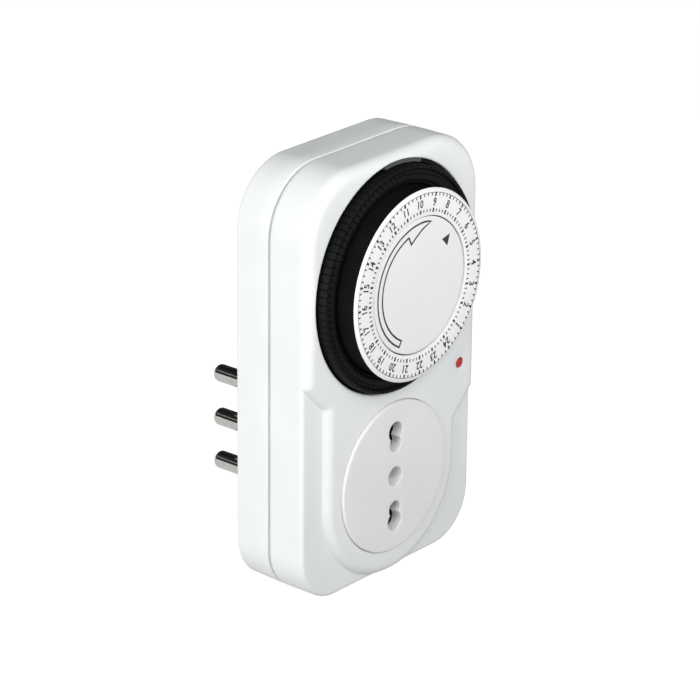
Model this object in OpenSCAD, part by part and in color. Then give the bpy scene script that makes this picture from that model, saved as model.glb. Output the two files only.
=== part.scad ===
// Plug-in mechanical 24-hour segment timer with a pass-through socket.
// Millimetres, +Z up, +X to the right of someone facing the dial, +Y towards the wall.
// Origin: centre of the earth pin where it leaves the rear face of the plug block.

/* [Case] */
// Width of the case
body_w = 70; // [70:0.5:74]
// Height of the top of the case above the earth pin
body_top = 90.6; // [90:0.2:94]
// Depth of the bottom of the case below the earth pin
body_drop = 28; // [28:0.5:32]
// Radius of the case's lower corners seen from the front
corner_r = 14; // [13:0.5:15]
// Radius of the case's upper corners seen from the front
top_corner_r = 18; // [17:0.5:19]
// Depth of the case from its front face to its rear face
body_depth = 25; // [25:0.5:27]
// Depth of the rear shell, from the seam to the rear face
rear_depth = 12; // [12:0.5:13]
// Thickness of the case's side walls
wall = 2.2; // [2:0.1:2.4]
// Radius of the rounded front edge
face_edge_r = 4.5; // [3:0.5:5]
// How far the grip strips lie behind the front face
strip_depth = 1.9; // [1.5:0.1:2.2]

/* [Plug] */
// Depth of the plug block behind the case
plug_depth = 19; // [19:0.5:22]
// Radius of the plug's pins
pin_r = 2.5; // [2.5:0.1:2.5]
// Distance between neighbouring pins
pin_pitch = 13; // [13:0.5:13]
// Length of the pins
pin_len = 19; // [19:0.5:19]

/* [Socket] */
// Radius of the round socket face
socket_r = 21.25; // [21:0.25:22]
// How far the socket face stands proud of the case
socket_proud = 0.8; // [0.4:0.1:1]
// Radius of the earth hole and of the wide holes
hole_r = 2.75; // [2.7:0.05:2.8]
// Radius of the narrow holes
small_hole_r = 2.3; // [2.2:0.05:2.4]
// Distance of the narrow holes from the earth hole
small_hole_z = 9.5; // [9.5:0.5:9.5]

/* [Dial] */
// Height of the dial's axis above the earth pin
dial_z = 56.3; // [56:0.1:56.6]
// How far the number ring stands proud of the case
dial_proud = 8.2; // [8:0.1:8.5]
// Outer radius of the white number ring
ring_r = 26.1; // [26:0.1:26.2]
// Radius of the fixed centre disc
centre_r = 18.5; // [18:0.1:18.5]
// Outer radius of the ring of tappets
tappet_r = 30.8; // [30.5:0.1:30.9]
// Radius of the opening in the case
opening_r = 31.8; // [31.6:0.1:31.8]
// How far a tappet travels when it is pushed in
tappet_travel = 2.3; // [2:0.1:2.3]

/* [Hidden] */
$fn = 96;

white = "#f2f3f3";
black = "#1b1c1e";
metal = "#d9d6cf";

// Planes across the depth
rear_y = -plug_depth;
front_y = rear_y - body_depth;
seam_y = rear_y - rear_depth;
strip_y = front_y + strip_depth;
shell_floor_y = rear_y - wall;
face_back_y = front_y + 2.4;
strip_back_y = strip_y + 2.3;
socket_y = front_y - socket_proud;
ring_y = front_y - dial_proud;
drum_y = ring_y + 2.2;
plate_front_y = front_y + 6.5;
plate_back_y = plate_front_y + 1.5;
motor_plate_back_y = plate_back_y + 0.8;
tappet_y = front_y - 2.2;
tappet_end_y = front_y + 3.7;
flange_front_y = front_y + 1.5;
flange_back_y = flange_front_y + 0.8;
flange_r = 28;

// Case outline
half_w = body_w / 2;
mid_z = (body_top - body_drop) / 2;
half_h = (body_top + body_drop) / 2;
panel_w = 27;
panel_arc_z = 27 - body_drop;
left_strip_z = 26.9;
right_strip_z = 8;
opening_z = dial_z + 0.4;
screw_x = half_w - 7.5;
screw_low_z = 7.5 - body_drop;
screw_high_x = half_w - 9.7;
screw_high_z = body_top - 9.4;
plate_screw_x = 28.8;
plate_screw_z = 30.5;

// Pins inside the plug block
pin_shank_r = pin_r - 0.2;
pin_back_y = -4.6;
pin_recess = 0.6;

// Gears
gear_module = 0.6;
gear_teeth = 48;
pinion_teeth = 12;
pinion_z = dial_z + gear_module * (gear_teeth + pinion_teeth) / 2;
motor_z = dial_z + 8.5;

// Dial
drum_r = 25.5;
tappet_in_r = drum_r + 0.3;
hour_start = -63;
segments = 96;
segment_angle = 360 / segments;

// Lever and switch
lever_x = 28.5;
lever_w = 2.6;
pivot_y = plate_back_y + 1.4;
pivot_z = 42.3;
switch_x0 = 25.6;
switch_x1 = 31.5;
switch_y0 = pivot_y + 2.4;
switch_y1 = switch_y0 + 9.2;
switch_z0 = 40;
switch_z1 = 58.6;
plunger_z = 50;
contact_z = 56;

lens_x = 27.7;
lens_z = 24.1;

function tappet_name(h) = str("tappets_", h < 10 ? "0" : "", h);

// ---------- shared shapes ----------

// A flat piece in the XZ plane that fills the depth from y0 (front) to y1 (back)
module slab(y0, y1) {
    translate([0, y1, 0])
        rotate([90, 0, 0])
            linear_extrude(y1 - y0) children();
}

// A round bar along Y
module bar(x, z, y0, y1, r) {
    translate([x, y1, z])
        rotate([90, 0, 0])
            cylinder(r = r, h = y1 - y0);
}

// A box from its lowest to its highest corner
module block(low, high) {
    translate(low) cube(high - low);
}

// Turned shape about the dial's axis: profile points are [radius, y]
module turned(profile) {
    translate([0, 0, dial_z])
        rotate([-90, 0, 0])
            rotate_extrude() polygon(profile);
}

module rounded_rect(w, h, r) {
    square([w - 2 * r, h], center = true);
    square([w, h - 2 * r], center = true);
    for (x = [-1, 1], z = [-1, 1])
        translate([x * (w / 2 - r), z * (h / 2 - r)]) circle(r);
}

function corner_at(z) = z > 0 ? top_corner_r : corner_r;

module case_outline(inset) {
    hull()
        for (x = [-1, 1], z = [-1, 1])
            translate([x * (half_w - corner_at(z)), mid_z + z * (half_h - corner_at(z))])
                circle(corner_at(z) - inset);
}

// Solid case block with a rounded edge at its front
module case_block(y0, y1, inset, edge_r) {
    hull() {
        for (x = [-1, 1], z = [-1, 1]) {
            puck_r = corner_at(z) - inset;
            translate([x * (half_w - corner_at(z)), y1, mid_z + z * (half_h - corner_at(z))])
                rotate([90, 0, 0]) {
                    cylinder(r = puck_r, h = y1 - y0 - edge_r, $fn = 32);
                    translate([0, 0, y1 - y0 - edge_r])
                        rotate_extrude($fn = 32)
                            translate([puck_r - edge_r, 0]) circle(edge_r, $fn = 16);
                }
        }
    }
}

// Recessed grip strip beside and below the U-shaped socket panel, on the right
module strip_area(top_z) {
    difference() {
        polygon([
            [panel_w, top_z],
            [panel_w + 20, top_z + 20],
            [panel_w + 20, -body_drop - 10],
            [0, -body_drop - 10],
            [0, panel_arc_z],
            [panel_w, panel_arc_z]
        ]);
        translate([0, panel_arc_z]) circle(panel_w);
    }
}

module face_area() {
    difference() {
        case_outline(0);
        strip_area(right_strip_z);
        mirror([1, 0]) strip_area(left_strip_z);
    }
}

module face_pocket_area() {
    intersection() {
        case_outline(wall + 0.4);
        difference() {
            square(400, center = true);
            translate([-2.4, 0]) strip_area(right_strip_z + 3.4);
            mirror([1, 0]) translate([-2.4, 0]) strip_area(left_strip_z + 3.4);
        }
    }
}

module screw_places() {
    for (x = [-1, 1]) {
        translate([x * screw_x, 0, screw_low_z]) children();
        translate([x * screw_high_x, 0, screw_high_z]) children();
    }
}

module countersunk_screw(head_y, tip_y, head_r, shank_r) {
    difference() {
        union() {
            bar(0, 0, head_y, head_y + 1.8, head_r);
            bar(0, 0, tip_y, head_y, shank_r);
        }
        block([-head_r * 0.7, head_y + 0.9, -0.4], [head_r * 0.7, head_y + 2, 0.4]);
        block([-0.4, head_y + 0.9, -head_r * 0.7], [0.4, head_y + 2, head_r * 0.7]);
    }
}

// Involute gear outline
function tooth_half(r, n, m, play) =
    let (rb = m * n / 2 * cos(20))
    let (t = sqrt(max(0, pow(r / rb, 2) - 1)))
    90 / n - play / (m * n) * 180 / PI + (tan(20) * 180 / PI - 20) - (t * 180 / PI - atan(t));

function gear_points(n, m, root_r, tip_r, play) =
    let (rb = m * n / 2 * cos(20))
    let (low = max(root_r, rb))
    let (radii = [root_r, low + 0.01, (low * 2 + tip_r) / 3, (low + tip_r * 2) / 3, tip_r])
    [for (i = [0:n - 1])
        each concat(
            [for (k = [0:4]) polar(radii[k], 360 / n * i - tooth_half(radii[k], n, m, play))],
            [for (k = [4:-1:0]) polar(radii[k], 360 / n * i + tooth_half(radii[k], n, m, play))]
        )];

function polar(r, a) = [r * cos(a), r * sin(a)];

// Round wire wound into a coil along +Z
module coil(r, wire_r, length, turns) {
    sides = 8;
    steps = turns * 16;
    points = [for (i = [0:steps], s = [0:sides - 1])
        let (a = 360 * turns * i / steps)
        let (q = 360 * s / sides)
        [(r + wire_r * cos(q)) * cos(a), (r + wire_r * cos(q)) * sin(a),
         wire_r + (length - 2 * wire_r) * i / steps + wire_r * sin(q)]];
    sides_list = [for (i = [0:steps - 1], s = [0:sides - 1])
        let (next = (s + 1) % sides)
        [i * sides + s, i * sides + next, (i + 1) * sides + next, (i + 1) * sides + s]];
    first_end = [[for (s = [sides - 1:-1:0]) s]];
    last_end = [[for (s = [0:sides - 1]) steps * sides + s]];
    polyhedron(points, concat(sides_list, first_end, last_end));
}

// ---------- case ----------

module front_shell() {
    color(white)
        difference() {
            union() {
                difference() {
                    union() {
                        case_block(strip_y, seam_y, 0, 1.2);
                        intersection() {
                            case_block(front_y, seam_y, 0, face_edge_r);
                            slab(front_y - 1, seam_y) face_area();
                        }
                    }
                    case_block(strip_back_y, seam_y + 1, wall, 1);
                    slab(face_back_y, strip_back_y + 1) face_pocket_area();
                    slab(seam_y - 2, seam_y + 1) case_outline(1.1);
                }
                // Collar around the dial and round rim behind the socket face
                intersection() {
                    slab(face_back_y - 1, plate_front_y - 0.5)
                        translate([0, opening_z]) circle(opening_r + 1.2);
                    slab(front_y, seam_y) case_outline(1.5);
                }
                screw_places() bar(0, 0, strip_back_y - 0.5, seam_y - 0.6, 2.9);
                for (x = [-1, 1])
                    bar(x * plate_screw_x, plate_screw_z, face_back_y - 0.5, plate_front_y, 2.8);
            }
            bar(0, opening_z, front_y - 10, seam_y, opening_r);
            bar(0, 0, front_y - 10, seam_y, socket_r + 0.1);
            screw_places() bar(0, 0, face_back_y + 2, seam_y + 1, 1.3);
            for (x = [-1, 1])
                bar(x * plate_screw_x, plate_screw_z, face_back_y + 0.5, seam_y, 1.1);
            bar(lens_x, lens_z, front_y - 5, seam_y, 1.5);
            // Slot for the override slider
            block([half_w - wall - 1, pivot_y - 2.4, 48.5], [half_w + 1, pivot_y + 0.8, 60.5]);
        }
}

module rear_shell() {
    color(white)
        difference() {
            union() {
                difference() {
                    slab(seam_y + 0.15, rear_y) case_outline(0);
                    slab(seam_y - 1, shell_floor_y) case_outline(wall);
                }
                // Lip that fits inside the front shell
                difference() {
                    slab(seam_y - 1.8, seam_y + 1) case_outline(1.2);
                    slab(seam_y - 3, seam_y + 2) case_outline(wall);
                }
                // Plug block
                slab(rear_y - 1, rear_y + 6) rounded_rect(34, 52, 10);
                slab(rear_y, 0) rounded_rect(22, 46, 8);
                // Wells that hold the socket contacts
                for (z = [-1, 1])
                    block([-5.4, front_y + 6.7, z * 11.6 - 6.4], [5.4, rear_y - 1, z * 11.6 + 6.4]);
                bar(0, 0, front_y + 8.6, rear_y - 1, 4.6);
                screw_places() bar(0, 0, seam_y - 0.3, rear_y - 1, 4.2);
            }
            // Ways for the bars behind the pins
            for (z = [-1, 0, 1])
                block([-2.2, shell_floor_y - 1, z * pin_pitch - 2.4], [2.2, -2.5, z * pin_pitch + 2.4]);
            for (z = [-1, 0, 1])
                union() {
                    bar(0, z * pin_pitch, -3, 1, pin_shank_r + 0.02);
                    bar(0, z * pin_pitch, -pin_recess, 1, pin_r + 0.1);
                }
            for (z = [-1, 1])
                block([-4.2, front_y + 6, z * 11.6 - 5.3], [4.2, shell_floor_y, z * 11.6 + 5.3]);
            bar(0, 0, front_y + 6, shell_floor_y, 3.6);
            // Ways for the strips through the upper well
            block([3, shell_floor_y - 1.4, 10.4], [6, shell_floor_y, 15.6]);
            block([3, rear_y - 7.8, 9], [6, rear_y - 5.9, 14]);
            screw_places() bar(0, 0, rear_y - 5, rear_y + 1, 3.2);
            screw_places() bar(0, 0, seam_y - 1, rear_y, 1.5);
            // Hollows that lighten the plug block
            for (x = [-1, 1])
                block([x * 6.1 - 2.3, shell_floor_y - 1, -18], [x * 6.1 + 2.3, -2.5, 18]);
        }
}

// ---------- plug and socket ----------

module plug_pin(z) {
    color(metal)
        translate([0, 0, z])
            rotate([-90, 0, 0])
                rotate_extrude()
                    polygon([
                        [0, pin_back_y], [pin_shank_r, pin_back_y], [pin_shank_r, 0], [pin_r, 0],
                        [pin_r, pin_len - 1], [pin_r - 0.3, pin_len - 0.4],
                        [pin_r - 1, pin_len], [0, pin_len]
                    ]);
}

module figure_eight_hole(y0, y1, z_sign) {
    bar(0, z_sign * small_hole_z, y0, y1, small_hole_r);
    bar(0, z_sign * pin_pitch, y0, y1, hole_r);
}

module socket_insert() {
    flange_back_y = face_back_y + 1.2;
    color(white)
        difference() {
            union() {
                difference() {
                    union() {
                        bar(0, 0, socket_y, flange_back_y, socket_r);
                        bar(0, 0, face_back_y, flange_back_y, socket_r + 1.6);
                    }
                    bar(0, 0, face_back_y, flange_back_y + 1, socket_r - 0.7);
                }
                // Earth guide tube
                bar(0, 0, face_back_y - 1, front_y + 8, 4.1);
                // Post that the shutter's spring leans on
                block([17.9, face_back_y - 0.5, -2], [19.4, shutter_y1 + 0.4, 2]);
            }
            bar(0, 0, socket_y - 1, front_y + 9, hole_r);
            for (z = [-1, 1])
                figure_eight_hole(socket_y - 1, face_back_y + 1, z);
        }
}

shutter_y0 = face_back_y + 1.7;
shutter_y1 = shutter_y0 + 1.8;

module shutter() {
    color("#4a4b4d")
        slab(shutter_y0, shutter_y1)
            difference() {
                translate([-3, 0]) rounded_rect(19, 34, 3);
                // Way for the earth tube
                long_slot(-5.6, 0, 4.5);
                for (z = [-1, 1])
                    translate([-5.7, z * 11.45]) square([5.8, 9.4], center = true);
            }
}

module long_slot(x0, x1, r) {
    translate([x0, 0]) circle(r);
    translate([x1, 0]) circle(r);
    translate([(x0 + x1) / 2, 0]) square([x1 - x0, 2 * r], center = true);
}

module shutter_spring() {
    color(metal)
        translate([6.7, (shutter_y0 + shutter_y1) / 2, 0])
            rotate([0, 90, 0])
                coil(1.3, 0.2, 11, 8);
}

module contact_pair(z) {
    color("#c9a14a")
        difference() {
            block([-3.15, front_y + 7.2, z - 4.75], [3.15, rear_y - 5.2, z + 4.75]);
            block([-2.55, front_y + 7, z - 5], [2.55, rear_y - 6, z + 5]);
        }
}

module contact_line() {
    contact_pair(11.6);
}

module contact_neutral() {
    contact_pair(-11.6);
}

module contact_earth() {
    color("#c9a14a")
        difference() {
            bar(0, 0, front_y + 8.5, rear_y - 5.2, 3.2);
            bar(0, 0, front_y + 8, rear_y - 6.2, 2.55);
            block([-0.4, front_y + 8, -4], [0.4, rear_y - 9, 4]);
        }
}

module straight_bus(z) {
    color("#c9a14a")
        block([-1.6, rear_y - 5.2, z - 1.6], [1.6, pin_back_y, z + 1.6]);
}

module bus_neutral() {
    straight_bus(-pin_pitch);
}

module bus_earth() {
    straight_bus(0);
}

module bus_line() {
    y1 = shell_floor_y - 0.3;
    y0 = y1 - 0.8;
    color("#c9a14a") {
        block([-1.6, y0, pin_pitch - 1.6], [1.6, pin_back_y, pin_pitch + 1.6]);
        block([1.5, y0, 11], [lever_x + 1.5, y1, 15]);
        block([lever_x - 1.5, y0, 14], [lever_x + 1.5, y1, 46]);
        block([lever_x - 1.5, switch_y0 + 3.2, 42], [lever_x + 1.5, y1, 44.4]);
    }
}

module bus_switched() {
    y0 = rear_y - 6.8;
    y1 = y0 + 0.7;
    color("#c9a14a") {
        block([3.15, y0, 9.6], [24, y1, 13.4]);
        block([20.6, y0, 13], [24, y1, 57]);
        block([23, y0, 53.6], [lever_x + 1.5, y1, 57]);
        bar(lever_x, contact_z - 0.6, y0 - 0.6, y0, 1.2);
    }
}

// ---------- snap switch and its lever ----------

module switch_case() {
    color("#3b3f45")
        difference() {
            block([switch_x0, switch_y0, switch_z0], [switch_x1, switch_y1, switch_z1]);
            block(
                [switch_x0 - 1, switch_y0 + 0.9, switch_z0 + 1],
                [switch_x1 - 0.6, switch_y1 - 0.9, switch_z1 - 1]
            );
            bar(lever_x, plunger_z, switch_y0 - 1, switch_y0 + 2, 1.35);
            block([lever_x - 1.7, switch_y1 - 1, 41.8], [lever_x + 1.7, switch_y1 + 1, 46.2]);
        }
}

module switch_lid() {
    color("#2f3237")
        difference() {
            block([switch_x0 - 0.8, switch_y0, switch_z0], [switch_x0, switch_y1, switch_z1]);
            block([switch_x0 - 1, rear_y - 7.1, 53.3], [switch_x0 + 1, rear_y - 5.8, 57.3]);
        }
}

module switch_plunger() {
    color("firebrick") {
        bar(lever_x, plunger_z, pivot_y + 0.3, pivot_y + 4.5, 1.2);
        bar(lever_x, plunger_z, pivot_y + 3.5, pivot_y + 4.2, 1.8);
    }
}

module switch_blade() {
    y0 = pivot_y + 4.8;
    color("#c9a14a") {
        block([lever_x - 1.3, y0, 43], [lever_x + 1.3, y0 + 0.4, 57.3]);
        bar(lever_x, contact_z, y0 + 0.4, y0 + 1, 1.1);
    }
}

module switch_lever() {
    x0 = lever_x - lever_w / 2;
    color("#e9e6dc") {
        block([x0, pivot_y - 1.6, pivot_z], [x0 + lever_w, pivot_y, 61]);
        translate([x0, pivot_y, pivot_z]) rotate([0, 90, 0]) cylinder(r = 1.6, h = lever_w);
        translate([25.5, pivot_y, pivot_z]) rotate([0, 90, 0]) cylinder(r = 0.95, h = 5.6);
        // Nose that the tappets press
        translate([x0, 0, 0])
            rotate([90, 0, 90])
                linear_extrude(lever_w)
                    polygon([
                        [pivot_y - 1.2, dial_z - 2.6], [tappet_end_y + 0.6, dial_z - 0.7],
                        [tappet_end_y + 0.6, dial_z + 0.7], [pivot_y - 1.2, dial_z + 2.6]
                    ]);
    }
}

module override_slider() {
    flange_x = half_w - wall - 0.85;
    color("#c62f2b") {
        block([flange_x, pivot_y - 3, 47], [flange_x + 0.75, pivot_y + 1.5, 66]);
        block([flange_x, pivot_y - 2.2, 54], [half_w + 1.4, pivot_y + 0.6, 60]);
        block([27.8, pivot_y - 2.8, 63.4], [flange_x + 0.1, pivot_y - 1.8, 65]);
    }
}

// ---------- motor and drive ----------

module motor_plate() {
    color("#b9bcbf")
        slab(plate_back_y, motor_plate_back_y)
            difference() {
                union() {
                    translate([0, motor_z]) circle(17);
                    translate([0, motor_z]) square([46, 8], center = true);
                }
                for (x = [-1, 1])
                    translate([x * 20.5, motor_z]) circle(1.4);
                translate([0, pinion_z]) circle(1.5);
            }
}

module motor_can() {
    color("#b9bcbf")
        difference() {
            bar(0, motor_z, motor_plate_back_y, motor_plate_back_y + 10.8, 17);
            bar(0, motor_z, motor_plate_back_y - 1, motor_plate_back_y + 10, 16.2);
        }
}

module motor_coil() {
    color("#b0632f")
        difference() {
            bar(0, motor_z, motor_plate_back_y + 1.7, motor_plate_back_y + 9.2, 15);
            bar(0, motor_z, motor_plate_back_y, motor_plate_back_y + 10, 9.4);
        }
}

module motor_rotor() {
    color("#2b2b2e") {
        bar(0, motor_z, motor_plate_back_y + 2.2, motor_plate_back_y + 8.4, 7.6);
        bar(0, motor_z, motor_plate_back_y + 0.2, motor_plate_back_y + 9.8, 0.75);
    }
}

module drive_pinion() {
    color("#e8e2cf") {
        translate([0, plate_front_y - 0.7, pinion_z])
            rotate([90, 0, 0])
                linear_extrude(2.6)
                    rotate(15)
                        polygon(gear_points(pinion_teeth, gear_module, 2.95, 4.2, 0.15));
        bar(0, pinion_z, plate_front_y - 0.8, motor_plate_back_y + 1.2, 1.2);
        bar(0, pinion_z, motor_plate_back_y + 0.3, motor_plate_back_y + 1.3, 5);
    }
}

module mechanism_plate() {
    color("#dfe1e0")
        difference() {
            union() {
                slab(plate_front_y, plate_back_y)
                    intersection() {
                        case_outline(wall + 1);
                        translate([0, 57.2]) square([62.4, 59.6], center = true);
                    }
                bar(0, dial_z, drum_y + 0.1, plate_front_y + 0.5, 6);
                // Ears for the lever's pivot
                block([25.3, plate_back_y - 0.5, pivot_z - 2], [26.8, pivot_y + 1.6, pivot_z + 2]);
                block([30.2, plate_back_y - 0.5, pivot_z - 2], [31.2, pivot_y + 1.6, pivot_z + 2]);
            }
            bar(0, dial_z, drum_y - 1, drum_y + 5, 3.05);
            bar(0, pinion_z, plate_front_y - 1, plate_back_y + 1, 1.6);
            for (x = [-1, 1]) {
                bar(x * screw_high_x, screw_high_z, plate_front_y - 1, plate_back_y + 1, 3.6);
                bar(x * plate_screw_x, plate_screw_z, plate_front_y - 1, plate_back_y + 1, 1.5);
                bar(x * 20.5, motor_z, plate_front_y - 1, plate_back_y + 1, 1.1);
            }
            translate([25, pivot_y, pivot_z]) rotate([0, 90, 0]) cylinder(r = 1.05, h = 8);
            block([26.9, plate_front_y - 1, 40], [30.1, plate_back_y + 0.1, 66]);
            block([26.9, plate_front_y - 1, 57.2], [33, plate_back_y + 1, 66]);
        }
}

// ---------- dial ----------

module dial_drum() {
    hub_r = 6.1;
    gear_bore_r = 8.9;
    web_y0 = drum_y + 2.4;
    web_y1 = drum_y + 3.8;
    gear_y1 = plate_front_y - 0.7;
    color(black) {
        turned([
            [hub_r, web_y0], [drum_r - 2, web_y0], [drum_r - 2, drum_y + 1.2],
            [centre_r + 0.7, drum_y + 1.2], [centre_r + 0.7, drum_y], [drum_r, drum_y],
            [drum_r, flange_front_y], [flange_r, flange_front_y], [flange_r, flange_back_y],
            [drum_r, flange_back_y], [drum_r, front_y + 5.4], [drum_r - 2, front_y + 5.4],
            [drum_r - 2, web_y1], [9, web_y1], [9, gear_y1], [hub_r, gear_y1]
        ]);
        difference() {
            translate([0, gear_y1, dial_z])
                rotate([90, 0, 0])
                    linear_extrude(3)
                        polygon(gear_points(gear_teeth, gear_module, 13.65, 14.85, 0.15));
            bar(0, dial_z, front_y - 2, plate_back_y, gear_bore_r);
        }
    }
}

module number_ring() {
    color(white)
        turned([
            [centre_r + 0.3, ring_y + 0.1], [ring_r - 0.9, ring_y], [ring_r, ring_y + 1],
            [ring_r, drum_y], [centre_r + 0.3, drum_y]
        ]);
}

module centre_disc() {
    color("#e4e5e6")
        turned([
            [0, ring_y + 0.2], [centre_r - 0.2, ring_y + 0.2], [centre_r, ring_y + 0.4],
            [centre_r, drum_y + 0.1], [8, drum_y + 0.1], [8, drum_y + 2.2], [6.2, drum_y + 2.2],
            [6.2, drum_y + 0.1], [2.95, drum_y + 0.1], [2.95, drum_y + 4.5], [0, drum_y + 4.5]
        ]);
}

// One tappet, standing at the angle a around the dial
module tappet(a) {
    gap = 0.22;
    side = segment_angle / 2;
    in_w = tappet_in_r * tan(side) - gap / 2;
    out_w = tappet_r * tan(side) - gap / 2;
    translate([0, 0, dial_z])
        rotate([0, -a, 0])
            difference() {
                slab(tappet_y, tappet_end_y)
                    polygon([
                        [tappet_in_r, -in_w], [tappet_r, -out_w],
                        [tappet_r, out_w], [tappet_in_r, in_w]
                    ]);
                // Notch that rides on the drum's flange
                block(
                    [tappet_in_r - 1, flange_front_y - tappet_travel - 0.2, -2],
                    [flange_r + 0.3, flange_back_y + 0.2, 2]
                );
                // Finger grooves in the front
                block([28.9, tappet_y - 1, -2], [29.8, tappet_y + 0.7, 2]);
                block([tappet_in_r - 1, tappet_y - 1, -2], [27, tappet_y + 0.4, 2]);
            }
}

module tappet_group(h) {
    color(black)
        for (i = [0:3])
            tappet(hour_start + 15 * h + segment_angle * (i + 0.5));
}

module index_arc() {
    color("#5b5d5e")
        difference() {
            bar(0, opening_z, front_y + 0.6, plate_front_y - 0.6, opening_r - 0.02);
            bar(0, dial_z, front_y - 1, plate_front_y, tappet_r + 0.3);
            // Only the stretch above the dial stays
            translate([0, 0, dial_z]) {
                block([-40, front_y - 1, -40], [40, plate_front_y, 22]);
                block([-40, front_y - 1, 0], [-4.5, plate_front_y, 40]);
            }
        }
}

// ---------- indicator ----------

module indicator_lens() {
    color("red")
        union() {
            bar(lens_x, lens_z, front_y - 0.3, face_back_y + 0.2, 1.4);
            bar(lens_x, lens_z, face_back_y + 0.1, face_back_y + 0.9, 2.3);
        }
}

module neon_lamp() {
    color("#f0b59a") {
        bar(lens_x, lens_z, face_back_y + 1.4, face_back_y + 9, 2);
        for (x = [-1, 1])
            bar(lens_x + x, lens_z, face_back_y + 9, face_back_y + 12, 0.3);
    }
}

module lamp_resistor() {
    y = face_back_y + 12.3;
    color("#c9a77c") {
        translate([lens_x + 1, y, lens_z - 14]) cylinder(r = 1.2, h = 7);
        translate([lens_x + 1, y, lens_z - 18]) cylinder(r = 0.3, h = 18.3);
    }
}

// ---------- screws ----------

module case_screws() {
    color("#8b8f94")
        screw_places()
            countersunk_screw(rear_y - 5, front_y + 5.6, 2.9, 1.25);
}

module plate_screws() {
    color("#8b8f94") {
        for (x = [-1, 1]) {
            translate([x * plate_screw_x, 0, plate_screw_z])
                countersunk_screw(plate_back_y, face_back_y + 0.7, 2.4, 1.05);
            translate([x * 20.5, 0, motor_z])
                countersunk_screw(motor_plate_back_y, plate_front_y + 0.2, 2.4, 1.05);
        }
    }
}

front_shell();
rear_shell();
socket_insert();
shutter();
shutter_spring();
plug_pin(pin_pitch);  // pin_line
plug_pin(-pin_pitch);  // pin_neutral
plug_pin(0);  // pin_earth
contact_line();
contact_neutral();
contact_earth();
bus_line();
bus_neutral();
bus_earth();
bus_switched();
switch_case();
switch_lid();
switch_plunger();
switch_blade();
switch_lever();
override_slider();
motor_can();
motor_plate();
motor_coil();
motor_rotor();
drive_pinion();
dial_drum();
number_ring();
centre_disc();
mechanism_plate();
index_arc();
indicator_lens();
neon_lamp();
lamp_resistor();
case_screws();
plate_screws();
for (h = [0:23])
    tappet_group(h);
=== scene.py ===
"""Looks of a plug-in 24-hour segment timer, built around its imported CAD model.

Metres in the CAD frame: +Z up the wall, +Y out of the back, the dial faces -Y.
"""

import math
import random

import bmesh
import bpy
from mathutils import Matrix, Vector, geometry


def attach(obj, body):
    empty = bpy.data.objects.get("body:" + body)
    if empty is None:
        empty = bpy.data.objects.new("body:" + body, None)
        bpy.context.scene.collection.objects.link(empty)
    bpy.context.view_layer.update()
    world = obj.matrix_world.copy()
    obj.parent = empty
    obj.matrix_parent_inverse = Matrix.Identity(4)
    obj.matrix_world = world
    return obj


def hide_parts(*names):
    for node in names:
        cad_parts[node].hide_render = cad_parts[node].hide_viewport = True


MM = 0.001

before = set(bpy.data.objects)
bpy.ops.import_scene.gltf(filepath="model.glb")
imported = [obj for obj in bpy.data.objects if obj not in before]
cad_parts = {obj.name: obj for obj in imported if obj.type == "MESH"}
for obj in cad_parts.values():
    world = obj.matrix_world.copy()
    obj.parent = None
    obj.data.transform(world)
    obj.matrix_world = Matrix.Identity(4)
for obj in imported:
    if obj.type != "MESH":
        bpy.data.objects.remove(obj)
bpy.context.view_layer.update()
random.seed(24)

# ---------------------------------------------------------------------------
# Dimensions in millimetres, as in the CAD model
# ---------------------------------------------------------------------------
HALF_W = 35.0
TOP_Z = 90.6
BOTTOM_Z = -28.0
MID_Z = (TOP_Z + BOTTOM_Z) / 2
HALF_H = (TOP_Z - BOTTOM_Z) / 2
TOP_CORNER_R = 18.0
LOW_CORNER_R = 14.0
WALL = 2.2

FRONT_Y = -44.0
STRIP_DEPTH = 1.9
SEAM_Y = -31.0
REAR_Y = -19.0
EDGE_R = 3.2          # rounded front edge of the case
STRIP_EDGE_R = 1.2    # sharper edge beside the grip strips
REAR_EDGE_R = 0.9
FOOT_EDGE_R = 1.0     # sharper edge at the foot of the raised panel
REAR_DRAFT = 0.3      # taper of the rear shell towards its back
PANEL_R = 3.0         # rounding where the raised panel rolls down to the strips

PANEL_W = 27.0
PANEL_ARC_Z = -1.0
LEFT_STRIP_Z = 26.9
RIGHT_STRIP_Z = 8.0

OPENING_Z = 56.7
OPENING_R = 31.8
SOCKET_R = 21.25
SOCKET_Y = -44.8
HOLE_R = 2.75
SMALL_HOLE_R = 2.3
SMALL_HOLE_Z = 9.5
PIN_PITCH = 13.0
PIN_R = 2.5
LENS_X, LENS_Z = 27.7, 24.1

DIAL_Z = 56.3
RING_Y = -52.2
FACE_Y = RING_Y + 0.06    # printed face of the number ring
PLATE_Y = RING_Y + 0.2    # front of the centre disc
RING_BACK_Y = RING_Y + 0.65
FACE_R = 24.95            # outer edge of the printed face, where the bevel begins
RING_R = 26.1
DISC_R = 18.5
DRUM_R = 25.5
TAPPET_Y = -46.2
TAPPET_END_Y = -40.3
TAPPET_R = 30.8
TAPPET_IN_R = 25.8
SEGMENT = 3.75            # degrees of one tappet, a quarter of an hour

SLOT_LOW_Z, SLOT_HIGH_Z = 48.5, 60.5
SLOT_FRONT_Y, SLOT_BACK_Y = -37.0, -33.8


# ---------------------------------------------------------------------------
# Node materials
# ---------------------------------------------------------------------------
NOISE_LOW, NOISE_HIGH = 0.3, 0.7    # where most values of the noise lie


def new_material(name):
    material = bpy.data.materials.new(name)
    material.use_nodes = True
    tree = material.node_tree
    shader = tree.nodes["Principled BSDF"]
    return material, tree, shader


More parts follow.
